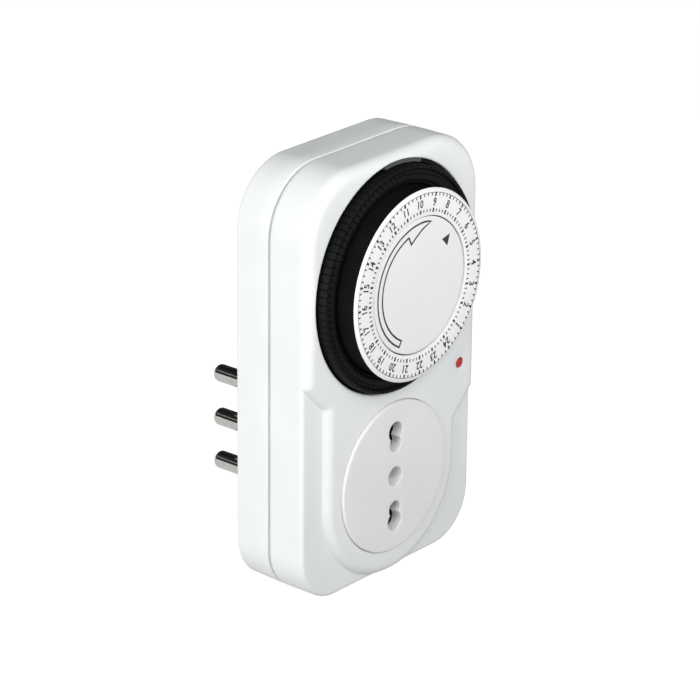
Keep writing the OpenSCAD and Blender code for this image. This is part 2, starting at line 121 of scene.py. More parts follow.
def noise(tree, scale, detail=3.0):
    """Noise in object space, at a scale in features per millimetre."""
    coords = tree.nodes.new("ShaderNodeTexCoord")
    texture = tree.nodes.new("ShaderNodeTexNoise")
    texture.inputs["Scale"].default_value = scale / MM
    texture.inputs["Detail"].default_value = detail
    tree.links.new(coords.outputs["Object"], texture.inputs["Vector"])
    return texture.outputs["Fac"]


def ramp(tree, source, low, high):
    node = tree.nodes.new("ShaderNodeValToRGB")
    node.color_ramp.elements[0].position = NOISE_LOW
    node.color_ramp.elements[1].position = NOISE_HIGH
    node.color_ramp.elements[0].color = low
    node.color_ramp.elements[1].color = high
    tree.links.new(source, node.inputs["Fac"])
    return node.outputs["Color"]


def map_range(tree, source, low, high):
    node = tree.nodes.new("ShaderNodeMapRange")
    node.inputs["From Min"].default_value = NOISE_LOW
    node.inputs["From Max"].default_value = NOISE_HIGH
    node.inputs["To Min"].default_value = low
    node.inputs["To Max"].default_value = high
    tree.links.new(source, node.inputs["Value"])
    return node.outputs["Result"]


def add_bump(tree, shader, source, height_mm):
    bump = tree.nodes.new("ShaderNodeBump")
    bump.inputs["Strength"].default_value = 1.0
    bump.inputs["Distance"].default_value = height_mm * MM
    tree.links.new(source, bump.inputs["Height"])
    tree.links.new(bump.outputs["Normal"], shader.inputs["Normal"])


def plastic(name, colour, roughness=0.35, tone=0.02, specular=0.5):
    """Moulded plastic: a faint mottle in tone, uneven gloss and a fine spark-eroded grain."""
    material, tree, shader = new_material(name)
    dark = [c * (1 - tone) for c in colour] + [1]
    light = [min(1, c * (1 + tone)) for c in colour] + [1]
    tree.links.new(ramp(tree, noise(tree, 0.06), dark, light), shader.inputs["Base Color"])
    gloss = map_range(tree, noise(tree, 0.15, 4.0), roughness - 0.04, roughness + 0.05)
    tree.links.new(gloss, shader.inputs["Roughness"])
    shader.inputs["Specular IOR Level"].default_value = specular
    add_bump(tree, shader, noise(tree, 3.0, 2.0), 0.006)
    return material


def metal(name, colour, roughness=0.2):
    """Plated or bare metal, with fine polishing marks and uneven gloss."""
    material, tree, shader = new_material(name)
    shader.inputs["Metallic"].default_value = 1.0
    dark = [c * 0.93 for c in colour] + [1]
    light = [min(1, c * 1.04) for c in colour] + [1]
    tree.links.new(ramp(tree, noise(tree, 0.4, 5.0), dark, light), shader.inputs["Base Color"])
    low, high = max(0.02, roughness - 0.05), roughness + 0.05
    gloss = map_range(tree, noise(tree, 1.5, 5.0), low, high)
    tree.links.new(gloss, shader.inputs["Roughness"])
    add_bump(tree, shader, noise(tree, 6.0, 2.0), 0.004)
    return material


def ink(name, colour):
    """Printed ink: nearly black, a little patchy."""
    material, tree, shader = new_material(name)
    dark = [c * 0.7 for c in colour] + [1]
    light = [min(1, c * 1.4) for c in colour] + [1]
    tree.links.new(ramp(tree, noise(tree, 2.0), dark, light), shader.inputs["Base Color"])
    shader.inputs["Roughness"].default_value = 0.45
    add_bump(tree, shader, noise(tree, 8.0), 0.003)
    return material


def lens_material(name):
    """Translucent red plastic."""
    material, tree, shader = new_material(name)
    tree.links.new(
        ramp(tree, noise(tree, 0.8), (0.42, 0.012, 0.012, 1), (0.62, 0.03, 0.025, 1)),
        shader.inputs["Base Color"],
    )
    shader.inputs["Roughness"].default_value = 0.18
    shader.inputs["Transmission Weight"].default_value = 0.15
    shader.inputs["IOR"].default_value = 1.49
    add_bump(tree, shader, noise(tree, 1.5), 0.01)
    return material


case_white = plastic("case_white", (0.80, 0.815, 0.82), roughness=0.36)
socket_white = plastic("socket_white", (0.80, 0.785, 0.80), roughness=0.34)
ring_white = plastic("ring_white", (0.84, 0.845, 0.845), roughness=0.30, tone=0.01)
disc_white = plastic("disc_white", (0.79, 0.795, 0.795), roughness=0.32, tone=0.012)
dial_black = plastic("dial_black", (0.005, 0.0056, 0.0065), roughness=0.55, tone=0.25, specular=0.12)
# Grey of the index arc's lighter sector, which paints a lit patch
index_grey = plastic("index_grey", (0.085, 0.09, 0.09), roughness=0.55, tone=0.1, specular=0.3)
shutter_dark = plastic("shutter_dark", (0.03, 0.03, 0.032), roughness=0.55, tone=0.1, specular=0.2)
switch_dark = plastic("switch_dark", (0.05, 0.055, 0.06), roughness=0.45, tone=0.1)
natural = plastic("natural", (0.72, 0.70, 0.66), roughness=0.42)
red_plastic = plastic("red_plastic", (0.45, 0.03, 0.022), roughness=0.3, tone=0.06)
black_ink = ink("black_ink", (0.02, 0.02, 0.022))
nickel = metal("nickel", (0.80, 0.775, 0.745), roughness=0.11)
brass = metal("brass", (0.72, 0.52, 0.22), roughness=0.25)
zinc = metal("zinc", (0.60, 0.61, 0.63), roughness=0.32)
spring_steel = metal("spring_steel", (0.66, 0.66, 0.68), roughness=0.2)
copper = metal("copper", (0.60, 0.26, 0.11), roughness=0.3)
ferrite = plastic("ferrite", (0.03, 0.03, 0.033), roughness=0.6, tone=0.2)
lamp_glass = plastic("lamp_glass", (0.62, 0.36, 0.26), roughness=0.1, tone=0.1)
resistor_tan = plastic("resistor_tan", (0.48, 0.33, 0.17), roughness=0.35, tone=0.1)
lens_red = lens_material("lens_red")


# ---------------------------------------------------------------------------
# Mesh helpers. Points are (x, y, z) in millimetres; flat points are (x, z).
# ---------------------------------------------------------------------------
def frange(low, high, count):
    return [low + (high - low) * i / count for i in range(count + 1)]


SIDE_STEP = 2.0    # spacing of points along a straight side


def rounded_rect_loop(cx, cz, half_w, half_h, r, arc_steps=20, stops=(), low_r=None):
    """Closed loop of flat points, counter-clockwise seen from the front. The lower
    corners may have a radius of their own."""
    points = []
    low_r = r if low_r is None else low_r
    corners = [(1, 1, 0, r), (-1, 1, 90, r), (-1, -1, 180, low_r), (1, -1, 270, low_r)]
    for i, (sx, sz, start, rad) in enumerate(corners):
        ox, oz = cx + sx * (half_w - rad), cz + sz * (half_h - rad)
        for k in range(arc_steps + 1):
            a = math.radians(start + 90 * k / arc_steps)
            points.append((ox + rad * math.cos(a), oz + rad * math.sin(a)))
        nx, nz, nstart, nrad = corners[(i + 1) % 4]
        a = math.radians(nstart)
        end = (cx + nx * (half_w - nrad) + nrad * math.cos(a),
               cz + nz * (half_h - nrad) + nrad * math.sin(a))
        last = points[-1]
        full = math.hypot(end[0] - last[0], end[1] - last[1])
        if full < 1e-6:
            points.pop()
            continue
        parts = max(1, round(full / SIDE_STEP))
        shares = [j / parts for j in range(1, parts)]
        if stops and i == 3:
            shares = sorted(set(shares) | {(s - last[1]) / (end[1] - last[1]) for s in stops})
            shares = [s for n, s in enumerate(shares) if n == 0 or s - shares[n - 1] > 0.004]
        for s in shares:
            points.append((last[0] + (end[0] - last[0]) * s, last[1] + (end[1] - last[1]) * s))
    return points


def case_loop(inset, stops=()):
    return rounded_rect_loop(
        0, MID_Z, HALF_W - inset, HALF_H - inset, TOP_CORNER_R - inset, stops=stops,
        low_r=LOW_CORNER_R - inset,
    )


def circle_loop(cx, cz, r, count):
    return [
        (cx + r * math.cos(2 * math.pi * i / count), cz + r * math.sin(2 * math.pi * i / count))
        for i in range(count)
    ]


def at_depth(loop, y):
    return [(x, y, z) for x, z in loop]


WELD_MM = 0.0005


class Builder:
    """Collects points and faces, then welds them into one mesh."""

    def __init__(self):
        self.verts, self.faces, self.marks = [], [], []

    def add(self, points, faces, mark=0):
        base = len(self.verts)
        self.verts.extend(points)
        for f in faces:
            self.faces.append([base + i for i in f])
            self.marks.append(mark)

    def bridge(self, a, b, skip=None):
        """Quads between two closed loops of the same length."""
        n = len(a)
        faces = [(i, (i + 1) % n, n + (i + 1) % n, n + i)
                 for i in range(n) if skip is None or not skip(i)]
        self.add(list(a) + list(b), faces)

    def stack(self, loops):
        for a, b in zip(loops, loops[1:]):
            self.bridge(a, b)

    def fill(self, rings, y, lines=(), extra=(), inside=None):
        """Triangles between flat rings. y is a number, or a function of x and z."""
        verts, edges = [], []
        for ring in rings:
            base = len(verts)
            verts.extend(ring)
            edges.extend((base + i, base + (i + 1) % len(ring)) for i in range(len(ring)))
        for line in lines:
            base = len(verts)
            verts.extend(line)
            edges.extend((base + i, base + i + 1) for i in range(len(line) - 1))
        verts.extend(extra)
        flat, _, tris, _, _, _ = geometry.delaunay_2d_cdt(
            [Vector(p) for p in verts], edges, [], 0, 1e-5
        )
        height = y if callable(y) else (lambda x, z: y)
        kept = []
        for t in tris:
            cx = sum(flat[i].x for i in t) / 3
            cz = sum(flat[i].y for i in t) / 3
            if inside(cx, cz):
                kept.append(t)
        self.add([(p.x, height(p.x, p.y), p.y) for p in flat], kept)

    def finish(self, name, materials, smooth_deg=32):
        mesh = bpy.data.meshes.new(name)
        mesh.from_pydata([[c * MM for c in p] for p in self.verts], [], self.faces)
        for m in materials:
            mesh.materials.append(m)
        mesh.polygons.foreach_set("material_index", self.marks)
        work = bmesh.new()
        work.from_mesh(mesh)
        bmesh.ops.remove_doubles(work, verts=work.verts, dist=WELD_MM * MM)
        bmesh.ops.dissolve_degenerate(work, edges=work.edges, dist=1e-8)
        loose = [v for v in work.verts if not v.link_faces]
        bmesh.ops.delete(work, geom=loose, context="VERTS")
        bmesh.ops.recalc_face_normals(work, faces=work.faces)
        work.to_mesh(mesh)
        work.free()
        mesh.shade_smooth()
        mesh.set_sharp_from_angle(angle=math.radians(smooth_deg))
        piece = bpy.data.objects.new(name, mesh)
        bpy.context.scene.collection.objects.link(piece)
        return piece


def place(piece, body, slot, *nodes):
    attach(piece, body)
    if nodes:
        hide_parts(*nodes)
    return piece


def turned(name, profile, z, count, materials, smooth_deg=32, closed=False, ripple=None):
    """Turned piece about the Y axis at height z. profile is [radius, y]."""
    shape = Builder()
    loops = []
    for r, y in profile:
        loop = []
        for i in range(count):
            a = 2 * math.pi * i / count
            rr = r + (ripple(i, r, y) if ripple else 0)
            loop.append((rr * math.cos(a), y, z + rr * math.sin(a)))
        loops.append(loop)
    if closed:
        loops.append(loops[0])
    shape.stack(loops)
    return shape.finish(name, materials, smooth_deg)


def arc_profile(cx, cy, r, start_deg, end_deg, steps):
    """Points of a rounded edge in a turned profile."""
    return [
        [cx + r * math.cos(math.radians(a)), cy + r * math.sin(math.radians(a))]
        for a in frange(start_deg, end_deg, steps)
    ]


# ---------------------------------------------------------------------------
# Front shell
# ---------------------------------------------------------------------------
def corner_at(z):
    return TOP_CORNER_R if z > MID_Z else LOW_CORNER_R


def case_inset(x, z):
    """Distance inside the case outline."""
    r = corner_at(z)
    dx = abs(x) - (HALF_W - r)
    dz = abs(z - MID_Z) - (HALF_H - r)
    outside = math.hypot(max(dx, 0), max(dz, 0))
    return r - outside - min(max(dx, dz), 0)


def quarter(inset, r):
    """Depth of a rounded edge of radius r at a distance inside the outline."""
    if inset >= r:
        return 0.0
    gap = r - max(inset, 0)
    return r - math.sqrt(max(0, r * r - gap * gap))


def strip_side(x, z):
    """Distance into a grip strip; negative on the raised face."""
    top = LEFT_STRIP_Z if x < 0 else RIGHT_STRIP_Z
    across = abs(x) - PANEL_W
    if z < PANEL_ARC_Z:
        across = math.hypot(x, z - PANEL_ARC_Z) - PANEL_W
    below = -((abs(x) - PANEL_W) * -1 + (z - top)) / math.sqrt(2)
    return min(across, below)


PANEL_ROLL = math.sqrt(PANEL_R ** 2 - (PANEL_R - STRIP_DEPTH) ** 2)
BLEND = 1.0


def front_depth(x, z):
    """How far the front surface lies behind the front plane."""
    inset = case_inset(x, z)
    strip = STRIP_DEPTH + quarter(inset, STRIP_EDGE_R)
    into = strip_side(x, z)
    if into >= 0:
        depth = strip
    else:
        main = quarter(inset, EDGE_R if z > PANEL_ARC_Z else FOOT_EDGE_R)
        t = -into
        roll = 0.0
        if t < PANEL_ROLL:
            roll = PANEL_R - math.sqrt(PANEL_R ** 2 - (PANEL_ROLL - t) ** 2)
        depth = max(main, roll + strip - STRIP_DEPTH)
        if main > strip and t < BLEND:
            s = t / BLEND
            depth = strip + (main - strip) * s * s * (3 - 2 * s)
    for cx, cz, r, edge in ROUND_HOLES:
        q = math.hypot(x - cx, z - cz) - r
        if q < edge:
            depth += quarter(q, edge)
    return depth


ROUND_HOLES = [
    (0, OPENING_Z, OPENING_R, 0.45),
    (0, 0, SOCKET_R + 0.1, 0.3),
    (LENS_X, LENS_Z, 1.5, 0.2),
]


def crease_line(t):
    """The line where the raised face rolls down to the strips, moved t towards the face."""
    points = []
    reach = 20.0
    for side, top in ((-1, LEFT_STRIP_Z), (1, RIGHT_STRIP_Z)):
        corner = (side * (PANEL_W - t), top + t * (math.sqrt(2) - 1))
        leg = [(corner[0] + side * s, corner[1] + s) for s in frange(reach, 0, 40)]
        drop = corner[1] - PANEL_ARC_Z
        leg += [(corner[0], corner[1] - drop * k / 30) for k in range(1, 31)]
        for k in range(1, 46):
            a = math.radians(270 + side * 2 * (45 - k))
            leg.append(((PANEL_W - t) * math.cos(a), PANEL_ARC_Z + (PANEL_W - t) * math.sin(a)))
        points.append(leg)
    left, right = points
    return left + right[::-1][1:]


def inset_point(x, z, d):
    """Moves a point of the case outline inwards by d."""
    cx = math.copysign(min(abs(x), HALF_W - corner_at(z)), x)
    dz = z - MID_Z
    cz = math.copysign(min(abs(dz), HALF_H - corner_at(z)), dz)
    ex, ez = x - cx, dz - cz
    length = math.hypot(ex, ez) or 1
    return x - ex / length * d, z - ez / length * d


def inset_loop(loop, d):
    return [inset_point(x, z, d) for x, z in loop]


def outline_chain(verts, faces):
    """The outer edge of a filled front surface, in order, as flat points."""
    used = {}
    for f in faces:
        for a, b in zip(f, f[1:] + f[:1]):
            key = (min(a, b), max(a, b))
            used[key] = used.get(key, 0) + 1
    near = {}
    for (a, b), n in used.items():
        if n != 1:
            continue
        if max(case_inset(verts[a][0], verts[a][2]), case_inset(verts[b][0], verts[b][2])) > 0.01:
            continue
        near.setdefault(a, []).append(b)
        near.setdefault(b, []).append(a)
    start = next(iter(near))
    chain, before, here = [start], None, start
    while True:
        step = [n for n in near[here] if n != before]
        if not step or step[0] == start:
            break
        before, here = here, step[0]
        chain.append(here)
    return [verts[i] for i in chain]


def build_front_shell():
    shape = Builder()
    stops = (SLOT_LOW_Z, SLOT_HIGH_Z)
    insets = [0, 0.03, 0.12, 0.27, 0.48, 0.74, 1.0, 1.25, 1.6, 2.05, 2.6, 3.2, 3.85, 4.5, 5.3]
    rows = [case_loop(i, stops) for i in insets]
    holes = []
    for cx, cz, r, edge in ROUND_HOLES:
        count = 192 if r > 10 else 48
        for share in (0, 0.12, 0.4, 1.0):
            holes.append(circle_loop(cx, cz, r + edge * share, count))
    holes += [circle_loop(0, OPENING_Z, OPENING_R + e, 192) for e in (1.0, 2.0)]
    holes += [circle_loop(0, 0, SOCKET_R + 1.2, 160)]
    lines = [crease_line(t) for t in CREASE_ROWS]
    step = 2.2
    spread = []
    for ix in range(-16, 17):
        for iz in range(-13, 42):
            x = ix * step + (0.5 * step if iz % 2 else 0)
            z = iz * step
            if case_inset(x, z) < 6 or abs(strip_side(x, z)) < 3.9:
                continue
            if min(abs(math.hypot(x - cx, z - cz) - r) for cx, cz, r, _ in ROUND_HOLES) < 1.8:
                continue
            spread.append((x, z))

    def inside(x, z):
        if case_inset(x, z) < 0:
            return False
        return all(math.hypot(x - cx, z - cz) > r for cx, cz, r, _ in ROUND_HOLES)

    shape.fill(
        rows + holes,
        lambda x, z: FRONT_Y + front_depth(x, z),
        lines=lines, extra=spread, inside=inside,
    )
    top = outline_chain(shape.verts, shape.faces)
    flat = [(p[0], p[2]) for p in top]
    depths = [-38.4, SLOT_FRONT_Y, SLOT_BACK_Y, -32.2]
    loops = [top] + [at_depth(flat, y) for y in depths]
    count = len(flat)

    def in_slot(i):
        x, z = flat[i]
        next_z = flat[(i + 1) % count][1]
        return x > HALF_W - 0.01 and SLOT_LOW_Z < (z + next_z) / 2 < SLOT_HIGH_Z

    for k, (a, b) in enumerate(zip(loops, loops[1:])):
        shape.bridge(a, b, skip=in_slot if k == 2 else None)
    # Rounded edge at the seam, and the wall's inside
    edge = [(0, -31.4), (0.05, -31.2), (0.18, -31.06), (0.4, SEAM_Y), (1.1, SEAM_Y),
            (1.1, -33.0), (WALL, -33.0), (WALL, -39.6)]
    shape.stack([loops[-1]] + [at_depth(inset_loop(flat, d), y) for d, y in edge])
    for cx, cz, r, rim in ROUND_HOLES:
        loop = circle_loop(cx, cz, r, 192 if r > 10 else 48)
        lip = [(x, FRONT_Y + front_depth(x, z), z) for x, z in loop]
        middle = at_depth(loop, -42.0 if r > 10 else -41.6)
        shape.stack([lip, middle, at_depth(loop, -38.0 if r > 30 else -41.5)])
    # Inside face of the front
    inner = case_loop(WALL)
    shape.fill(
        [inner] + [circle_loop(cx, cz, r + 0.02, 96) for cx, cz, r, _ in ROUND_HOLES], -39.6,
        inside=lambda x, z: case_inset(x, z) > WALL and inside(x, z),
    )
    # Walls of the slot for the override slider
    rim = [(HALF_W, SLOT_FRONT_Y, SLOT_LOW_Z), (HALF_W, SLOT_FRONT_Y, SLOT_HIGH_Z),
           (HALF_W, SLOT_BACK_Y, SLOT_HIGH_Z), (HALF_W, SLOT_BACK_Y, SLOT_LOW_Z)]
    shape.bridge(rim, [(HALF_W - WALL, y, z) for _, y, z in rim])
    return shape.finish("case_front", [case_white], smooth_deg=38)


CREASE_ROWS = (-1.2, -0.5, -0.12, 0, 0.3, 0.65, 1.05, 1.5, 2.0, 2.5, PANEL_ROLL, 3.4)
place(build_front_shell(), "case", "case_white", "front_shell")


# ---------------------------------------------------------------------------
# Rear shell
# ---------------------------------------------------------------------------
def rounded_edge(r, y_face, steps=6):
    """(inset, y) pairs that round a block's edge towards its rear face."""
    pairs = []
    for k in range(steps + 1):
        a = math.radians(90 * k / steps)
        pairs.append((r * (1 - math.cos(a)), y_face - r * (1 - math.sin(a))))
    return pairs


def rect_ring(w, h, r, inset):
    return rounded_rect_loop(0, 0, w / 2 - inset, h / 2 - inset, max(0.4, r - inset), arc_steps=12)


def in_rect(x, z, w, h, r):
    dx, dz = abs(x) - (w / 2 - r), abs(z) - (h / 2 - r)
    return math.hypot(max(dx, 0), max(dz, 0)) + min(max(dx, dz), 0) < r


SCREWS = [(sx * x, z) for sx in (-1, 1) for x, z in ((27.5, -20.5), (25.3, 81.2))]
PEDESTAL = (34, 52, 10)
NOSE = (22, 46, 8)
PEDESTAL_Y = -13.0


def build_rear_shell():
    shape = Builder()
    outline = case_loop(0)
    path = [(WALL, -21.2), (WALL, -32.6), (1.2, -32.6), (1.2, -30.3), (0.4, -30.3), (0.18, -30.24),
            (0.05, -30.1), (0, -29.9), (REAR_DRAFT / 2, -25), (REAR_DRAFT, -21)]
    path += [(REAR_DRAFT + d, y) for d, y in rounded_edge(REAR_EDGE_R, REAR_Y)]
    shape.stack([at_depth(inset_loop(outline, d), y) for d, y in path])
    back = inset_loop(outline, REAR_DRAFT + REAR_EDGE_R)
    screw_rims = [circle_loop(x, z, 3.45, 40) for x, z in SCREWS]
    shape.fill(
        [back, rect_ring(*PEDESTAL, -0.5)] + screw_rims, REAR_Y,
        inside=lambda x, z: case_inset(x, z) > REAR_DRAFT + REAR_EDGE_R
        and not in_rect(x, z, 35, 53, 10.5)
        and all(math.hypot(x - sx, z - sz) > 3.45 for sx, sz in SCREWS),
    )
    for x, z in SCREWS:
        well = [(3.45, REAR_Y), (3.28, -19.07), (3.2, -19.25), (3.2, -23.95), (1.5, -23.95)]
        shape.stack([at_depth(circle_loop(x, z, r, 40), y) for r, y in well])
    # Plug block: a pedestal and the nose that enters the wall socket's well
    foot = [(-0.5, REAR_Y), (-0.15, -18.85), (0, -18.5), (0, -15)] + rounded_edge(1.0, PEDESTAL_Y)
    shape.stack([at_depth(rect_ring(*PEDESTAL, d), y) for d, y in foot])
    shape.fill(
        [rect_ring(*PEDESTAL, 1.0), rect_ring(*NOSE, -0.4)], PEDESTAL_Y,
        inside=lambda x, z: in_rect(x, z, 32, 50, 9) and not in_rect(x, z, 22.8, 46.8, 8.4),
    )
    nose = [(-0.4, PEDESTAL_Y), (-0.1, -12.9), (0, -12.6), (0, -7)] + rounded_edge(1.0, 0.0)
    shape.stack([at_depth(rect_ring(*NOSE, d), y) for d, y in nose])
    pins = [(0, k * PIN_PITCH) for k in (-1, 0, 1)]
    shape.fill(
        [rect_ring(*NOSE, 1.0)] + [circle_loop(x, z, 2.6, 48) for x, z in pins], 0.0,
        inside=lambda x, z: in_rect(x, z, 20, 44, 7)
        and all(math.hypot(x - px, z - pz) > 2.6 for px, pz in pins),
    )
    recess = [(2.6, 0), (2.6, -0.6), (2.31, -0.6), (2.31, -2.5)]
    for x, z in pins:
        shape.stack([at_depth(circle_loop(x, z, r, 48), y) for r, y in recess])
    # Floor inside, and the wells that hold the socket's contacts
    shape.fill([case_loop(WALL)], -21.2, inside=lambda x, z: case_inset(x, z) > WALL)
    for sign in (-1, 1):
        cz = sign * 11.6
        outer, inner = rect_ring(10.8, 12.8, 0.8, 0), rect_ring(8.4, 10.6, 0.5, 0)
        outer = [(x, z + cz) for x, z in outer]
        inner = [(x, z + cz) for x, z in inner]
        shape.stack([at_depth(outer, -21.2), at_depth(outer, -37.3)])
        shape.stack([at_depth(inner, -21.2), at_depth(inner, -37.3)])
        if len(outer) == len(inner):
            shape.stack([at_depth(outer, -37.3), at_depth(inner, -37.3)])
    tube = [(4.6, -21.2), (4.6, -35.4), (3.6, -35.4), (3.6, -21.2)]
    shape.stack([at_depth(circle_loop(0, 0, r, 48), y) for r, y in tube])
    return shape.finish("case_rear", [case_white], smooth_deg=38)


place(build_rear_shell(), "case", "case_white", "rear_shell")


# ---------------------------------------------------------------------------
# Socket face
# ---------------------------------------------------------------------------
def keyhole_loop(sign, extra):
    """Outline of a wide hole joined to a narrow one, grown by extra."""
    big, small = HOLE_R + extra, SMALL_HOLE_R + extra
    gap = PIN_PITCH - SMALL_HOLE_Z
    along = (big * big - small * small + gap * gap) / (2 * gap)
    half = math.sqrt(big * big - along * along)
    a_big = math.degrees(math.atan2(half, along))
    a_small = math.degrees(math.atan2(half, along - gap))
    points = []
    for a in frange(-90 + a_big, 270 - a_big, 40)[:-1]:
        t = math.radians(a)
        points.append((big * math.cos(t), PIN_PITCH + big * math.sin(t)))
    for a in frange(270 - a_small, 270 + a_small, 32)[:-1]:
        t = math.radians(a)
        points.append((small * math.cos(t), SMALL_HOLE_Z + small * math.sin(t)))
    return [(x, sign * z) for x, z in points]


def in_keyhole(x, z, extra):
    z = abs(z)
    in_wide = math.hypot(x, z - PIN_PITCH) < HOLE_R + extra
    return in_wide or math.hypot(x, z - SMALL_HOLE_Z) < SMALL_HOLE_R + extra


COLLAR_R = 4.1        # collar behind the earth hole


def build_socket():
    shape = Builder()
    rim, count = 0.45, 192
    edge = [(SOCKET_R, -41.6), (SOCKET_R, -44.0)]
    for k in range(7):
        a = math.radians(15 * k)
        edge.append((SOCKET_R - rim * (1 - math.cos(a)), SOCKET_Y + rim * (1 - math.sin(a))))
    shape.stack([at_depth(circle_loop(0, 0, r, count), y) for r, y in edge])
    soft = 0.22
    spread = [
        (ix * 1.5 + (0.75 if iz % 2 else 0), iz * 1.5)
        for ix in range(-14, 15) for iz in range(-14, 15)
    ]
    spread = [
        (x, z) for x, z in spread
        if HOLE_R + 0.9 < math.hypot(x, z) < SOCKET_R - 1.2 and not in_keyhole(x, z, 0.9)
    ]
    shape.fill(
        [circle_loop(0, 0, SOCKET_R - rim, count), circle_loop(0, 0, HOLE_R + soft, 48),
         keyhole_loop(1, soft), keyhole_loop(-1, soft)], SOCKET_Y, extra=spread,
        inside=lambda x, z: HOLE_R + soft < math.hypot(x, z) < SOCKET_R - rim
        and not in_keyhole(x, z, soft),
    )
    quarters = [math.radians(a) for a in (0, 22.5, 45, 67.5, 90)]
    steps = [(soft * (1 - math.sin(a)), SOCKET_Y + soft * (1 - math.cos(a))) for a in quarters]
    for sign in (-1, 1):
        shape.stack([at_depth(keyhole_loop(sign, d), y) for d, y in steps + [(0, -41.6)]])
    bore = steps + [(0, -40), (0, -36)]
    shape.stack([at_depth(circle_loop(0, 0, HOLE_R + d, 48), y) for d, y in bore])
    collar = [(HOLE_R, -36), (COLLAR_R, -36), (COLLAR_R, -41.6)]
    shape.stack([at_depth(circle_loop(0, 0, r, 48), y) for r, y in collar])
    shape.fill(
        [circle_loop(0, 0, SOCKET_R, count), circle_loop(0, 0, COLLAR_R, 48),
         keyhole_loop(1, 0), keyhole_loop(-1, 0)],
        -41.6,
        inside=lambda x, z: COLLAR_R < math.hypot(x, z) < SOCKET_R and not in_keyhole(x, z, 0),
    )
    flange = [(SOCKET_R, -41.6), (SOCKET_R + 1.6, -41.6), (SOCKET_R + 1.6, -40.4),
              (SOCKET_R - 0.7, -40.4), (SOCKET_R - 0.7, -41.55)]
    shape.stack([at_depth(circle_loop(0, 0, r, count), y) for r, y in flange])
    return shape.finish("socket_face", [socket_white], smooth_deg=38)


place(build_socket(), "case", "socket_white", "socket_insert")


# ---------------------------------------------------------------------------
# Plug pins
# ---------------------------------------------------------------------------
PIN_LENGTH = 19
PIN_TIP_R = 1.5


def build_pin(name, z):
    tip = arc_profile(PIN_R - PIN_TIP_R, PIN_LENGTH - PIN_TIP_R, PIN_TIP_R, 0, 90, 9)
    profile = [[0.05, -4.6], [2.3, -4.6], [2.3, -0.6]]
    profile += [[PIN_R, y] for y in (-0.6, 0.2, 6, 12)]
    profile += tip + [[0.5, PIN_LENGTH], [0.05, PIN_LENGTH]]
    return turned(name, profile, z, 72, [nickel], smooth_deg=40)


for node, z in (("pin_line", PIN_PITCH), ("pin_earth", 0), ("pin_neutral", -PIN_PITCH)):
    place(build_pin("plug_" + node, z), "case", "nickel", node)


# ---------------------------------------------------------------------------
# Dial: drum, number ring and centre disc
# ---------------------------------------------------------------------------
RIB_COUNT = 192
RIB_DEPTH = 0.16


def drum_ripple(i, r, y):
    ribbed = abs(r - DRUM_R) < 0.01 and -50.4 < y < -43
    return -RIB_DEPTH if ribbed and i % 4 in (0, 1) else 0


def build_drum():
    profile = [
        [6.1, -47.6], [23.5, -47.6], [23.5, -48.8], [19.2, -48.8], [19.2, RING_BACK_Y],
        [25.2, RING_BACK_Y], [25.42, RING_BACK_Y + 0.1], [DRUM_R, -50.6], [DRUM_R, -50.3],
        [DRUM_R, -46.4], [DRUM_R, -43.2], [DRUM_R, -42.5], [28, -42.5], [28, -41.7],
        [DRUM_R, -41.7], [DRUM_R, -38.6], [23.5, -38.6], [23.5, -46.2], [9, -46.2],
        [9, -38.2], [6.1, -38.2],
    ]
    return turned("drum", profile, DIAL_Z, RIB_COUNT * 4, [dial_black], closed=True, ripple=drum_ripple)


place(build_drum(), "dial", "dial_black", "dial_drum")


def build_number_ring():
    """Thin white ring with a bevelled outer edge and a flat printed face."""
    inner_edge = [(0, 0.12), (0.04, 0.03), (0.12, 0)]
    bevel = [(0.06, 0), (0.3, 0.02), (0.55, 0.1), (0.8, 0.26)]
    profile = [[18.8, RING_BACK_Y]] + [[18.8 + r, FACE_Y + y] for r, y in inner_edge]
    profile += [[22, FACE_Y], [FACE_R, FACE_Y]] + [[FACE_R + r, RING_Y + y] for r, y in bevel]
    profile += [[RING_R - 0.05, RING_Y + 0.42], [RING_R, RING_Y + 0.5]]
    profile += [[RING_R, RING_BACK_Y - 0.05], [RING_R - 0.06, RING_BACK_Y]]
    return turned("number_scale_ring", profile, DIAL_Z, 256, [ring_white], closed=True)


place(build_number_ring(), "dial", "ring_white", "number_ring")


def build_disc():
    y = PLATE_Y
    profile = [[r, y] for r in (0.05, 6, 12, 17.6, 18.2)]
    profile += [[18.38, y + 0.05], [18.48, y + 0.17], [DISC_R, y + 0.35]]
    profile += [[DISC_R, -49.9], [2.95, -49.9], [2.95, -45.5], [0.05, -45.5]]
    return turned("centre_plate", profile, DIAL_Z, 224, [disc_white])


place(build_disc(), "case", "disc_white", "centre_disc")


# ---------------------------------------------------------------------------
# Printing on the dial, and a painted shade line round its face: thin raised ink, a few hundredths of a
# millimetre high
# ---------------------------------------------------------------------------
INK = 0.025
FIRST_HOUR = -59.2    # where the 24th hour stands at rest, in degrees from +X


def polar(r, degrees):
    a = math.radians(degrees)
    return r * math.cos(a), DIAL_Z + r * math.sin(a)


def ink_quad(shape, corners, y):
    """A flat patch of ink with sides, from four flat corners."""
    front = [(x, y - INK, z) for x, z in corners]
    back = [(x, y, z) for x, z in corners]
    n = len(corners)
    sides = [(i, (i + 1) % n, n + (i + 1) % n, n + i) for i in range(n)]
    shape.add(front + back, [tuple(range(n))] + sides)


def tick(shape, degrees, r0, r1, width, y):
    half = width / 2
    a = math.radians(degrees)
    c, s = math.cos(a), math.sin(a)
    corners = []
    for r, w in ((r0, -half), (r1, -half), (r1, half), (r0, half)):
        corners.append((r * c - w * s, DIAL_Z + r * s + w * c))
    ink_quad(shape, corners, y)


def ink_band(shape, inner, outer, y):
    """A raised band of ink between two flat loops."""
    loops = ((inner, y), (inner, y - INK), (outer, y - INK), (outer, y))
    shape.stack([at_depth(loop, depth) for loop, depth in loops])
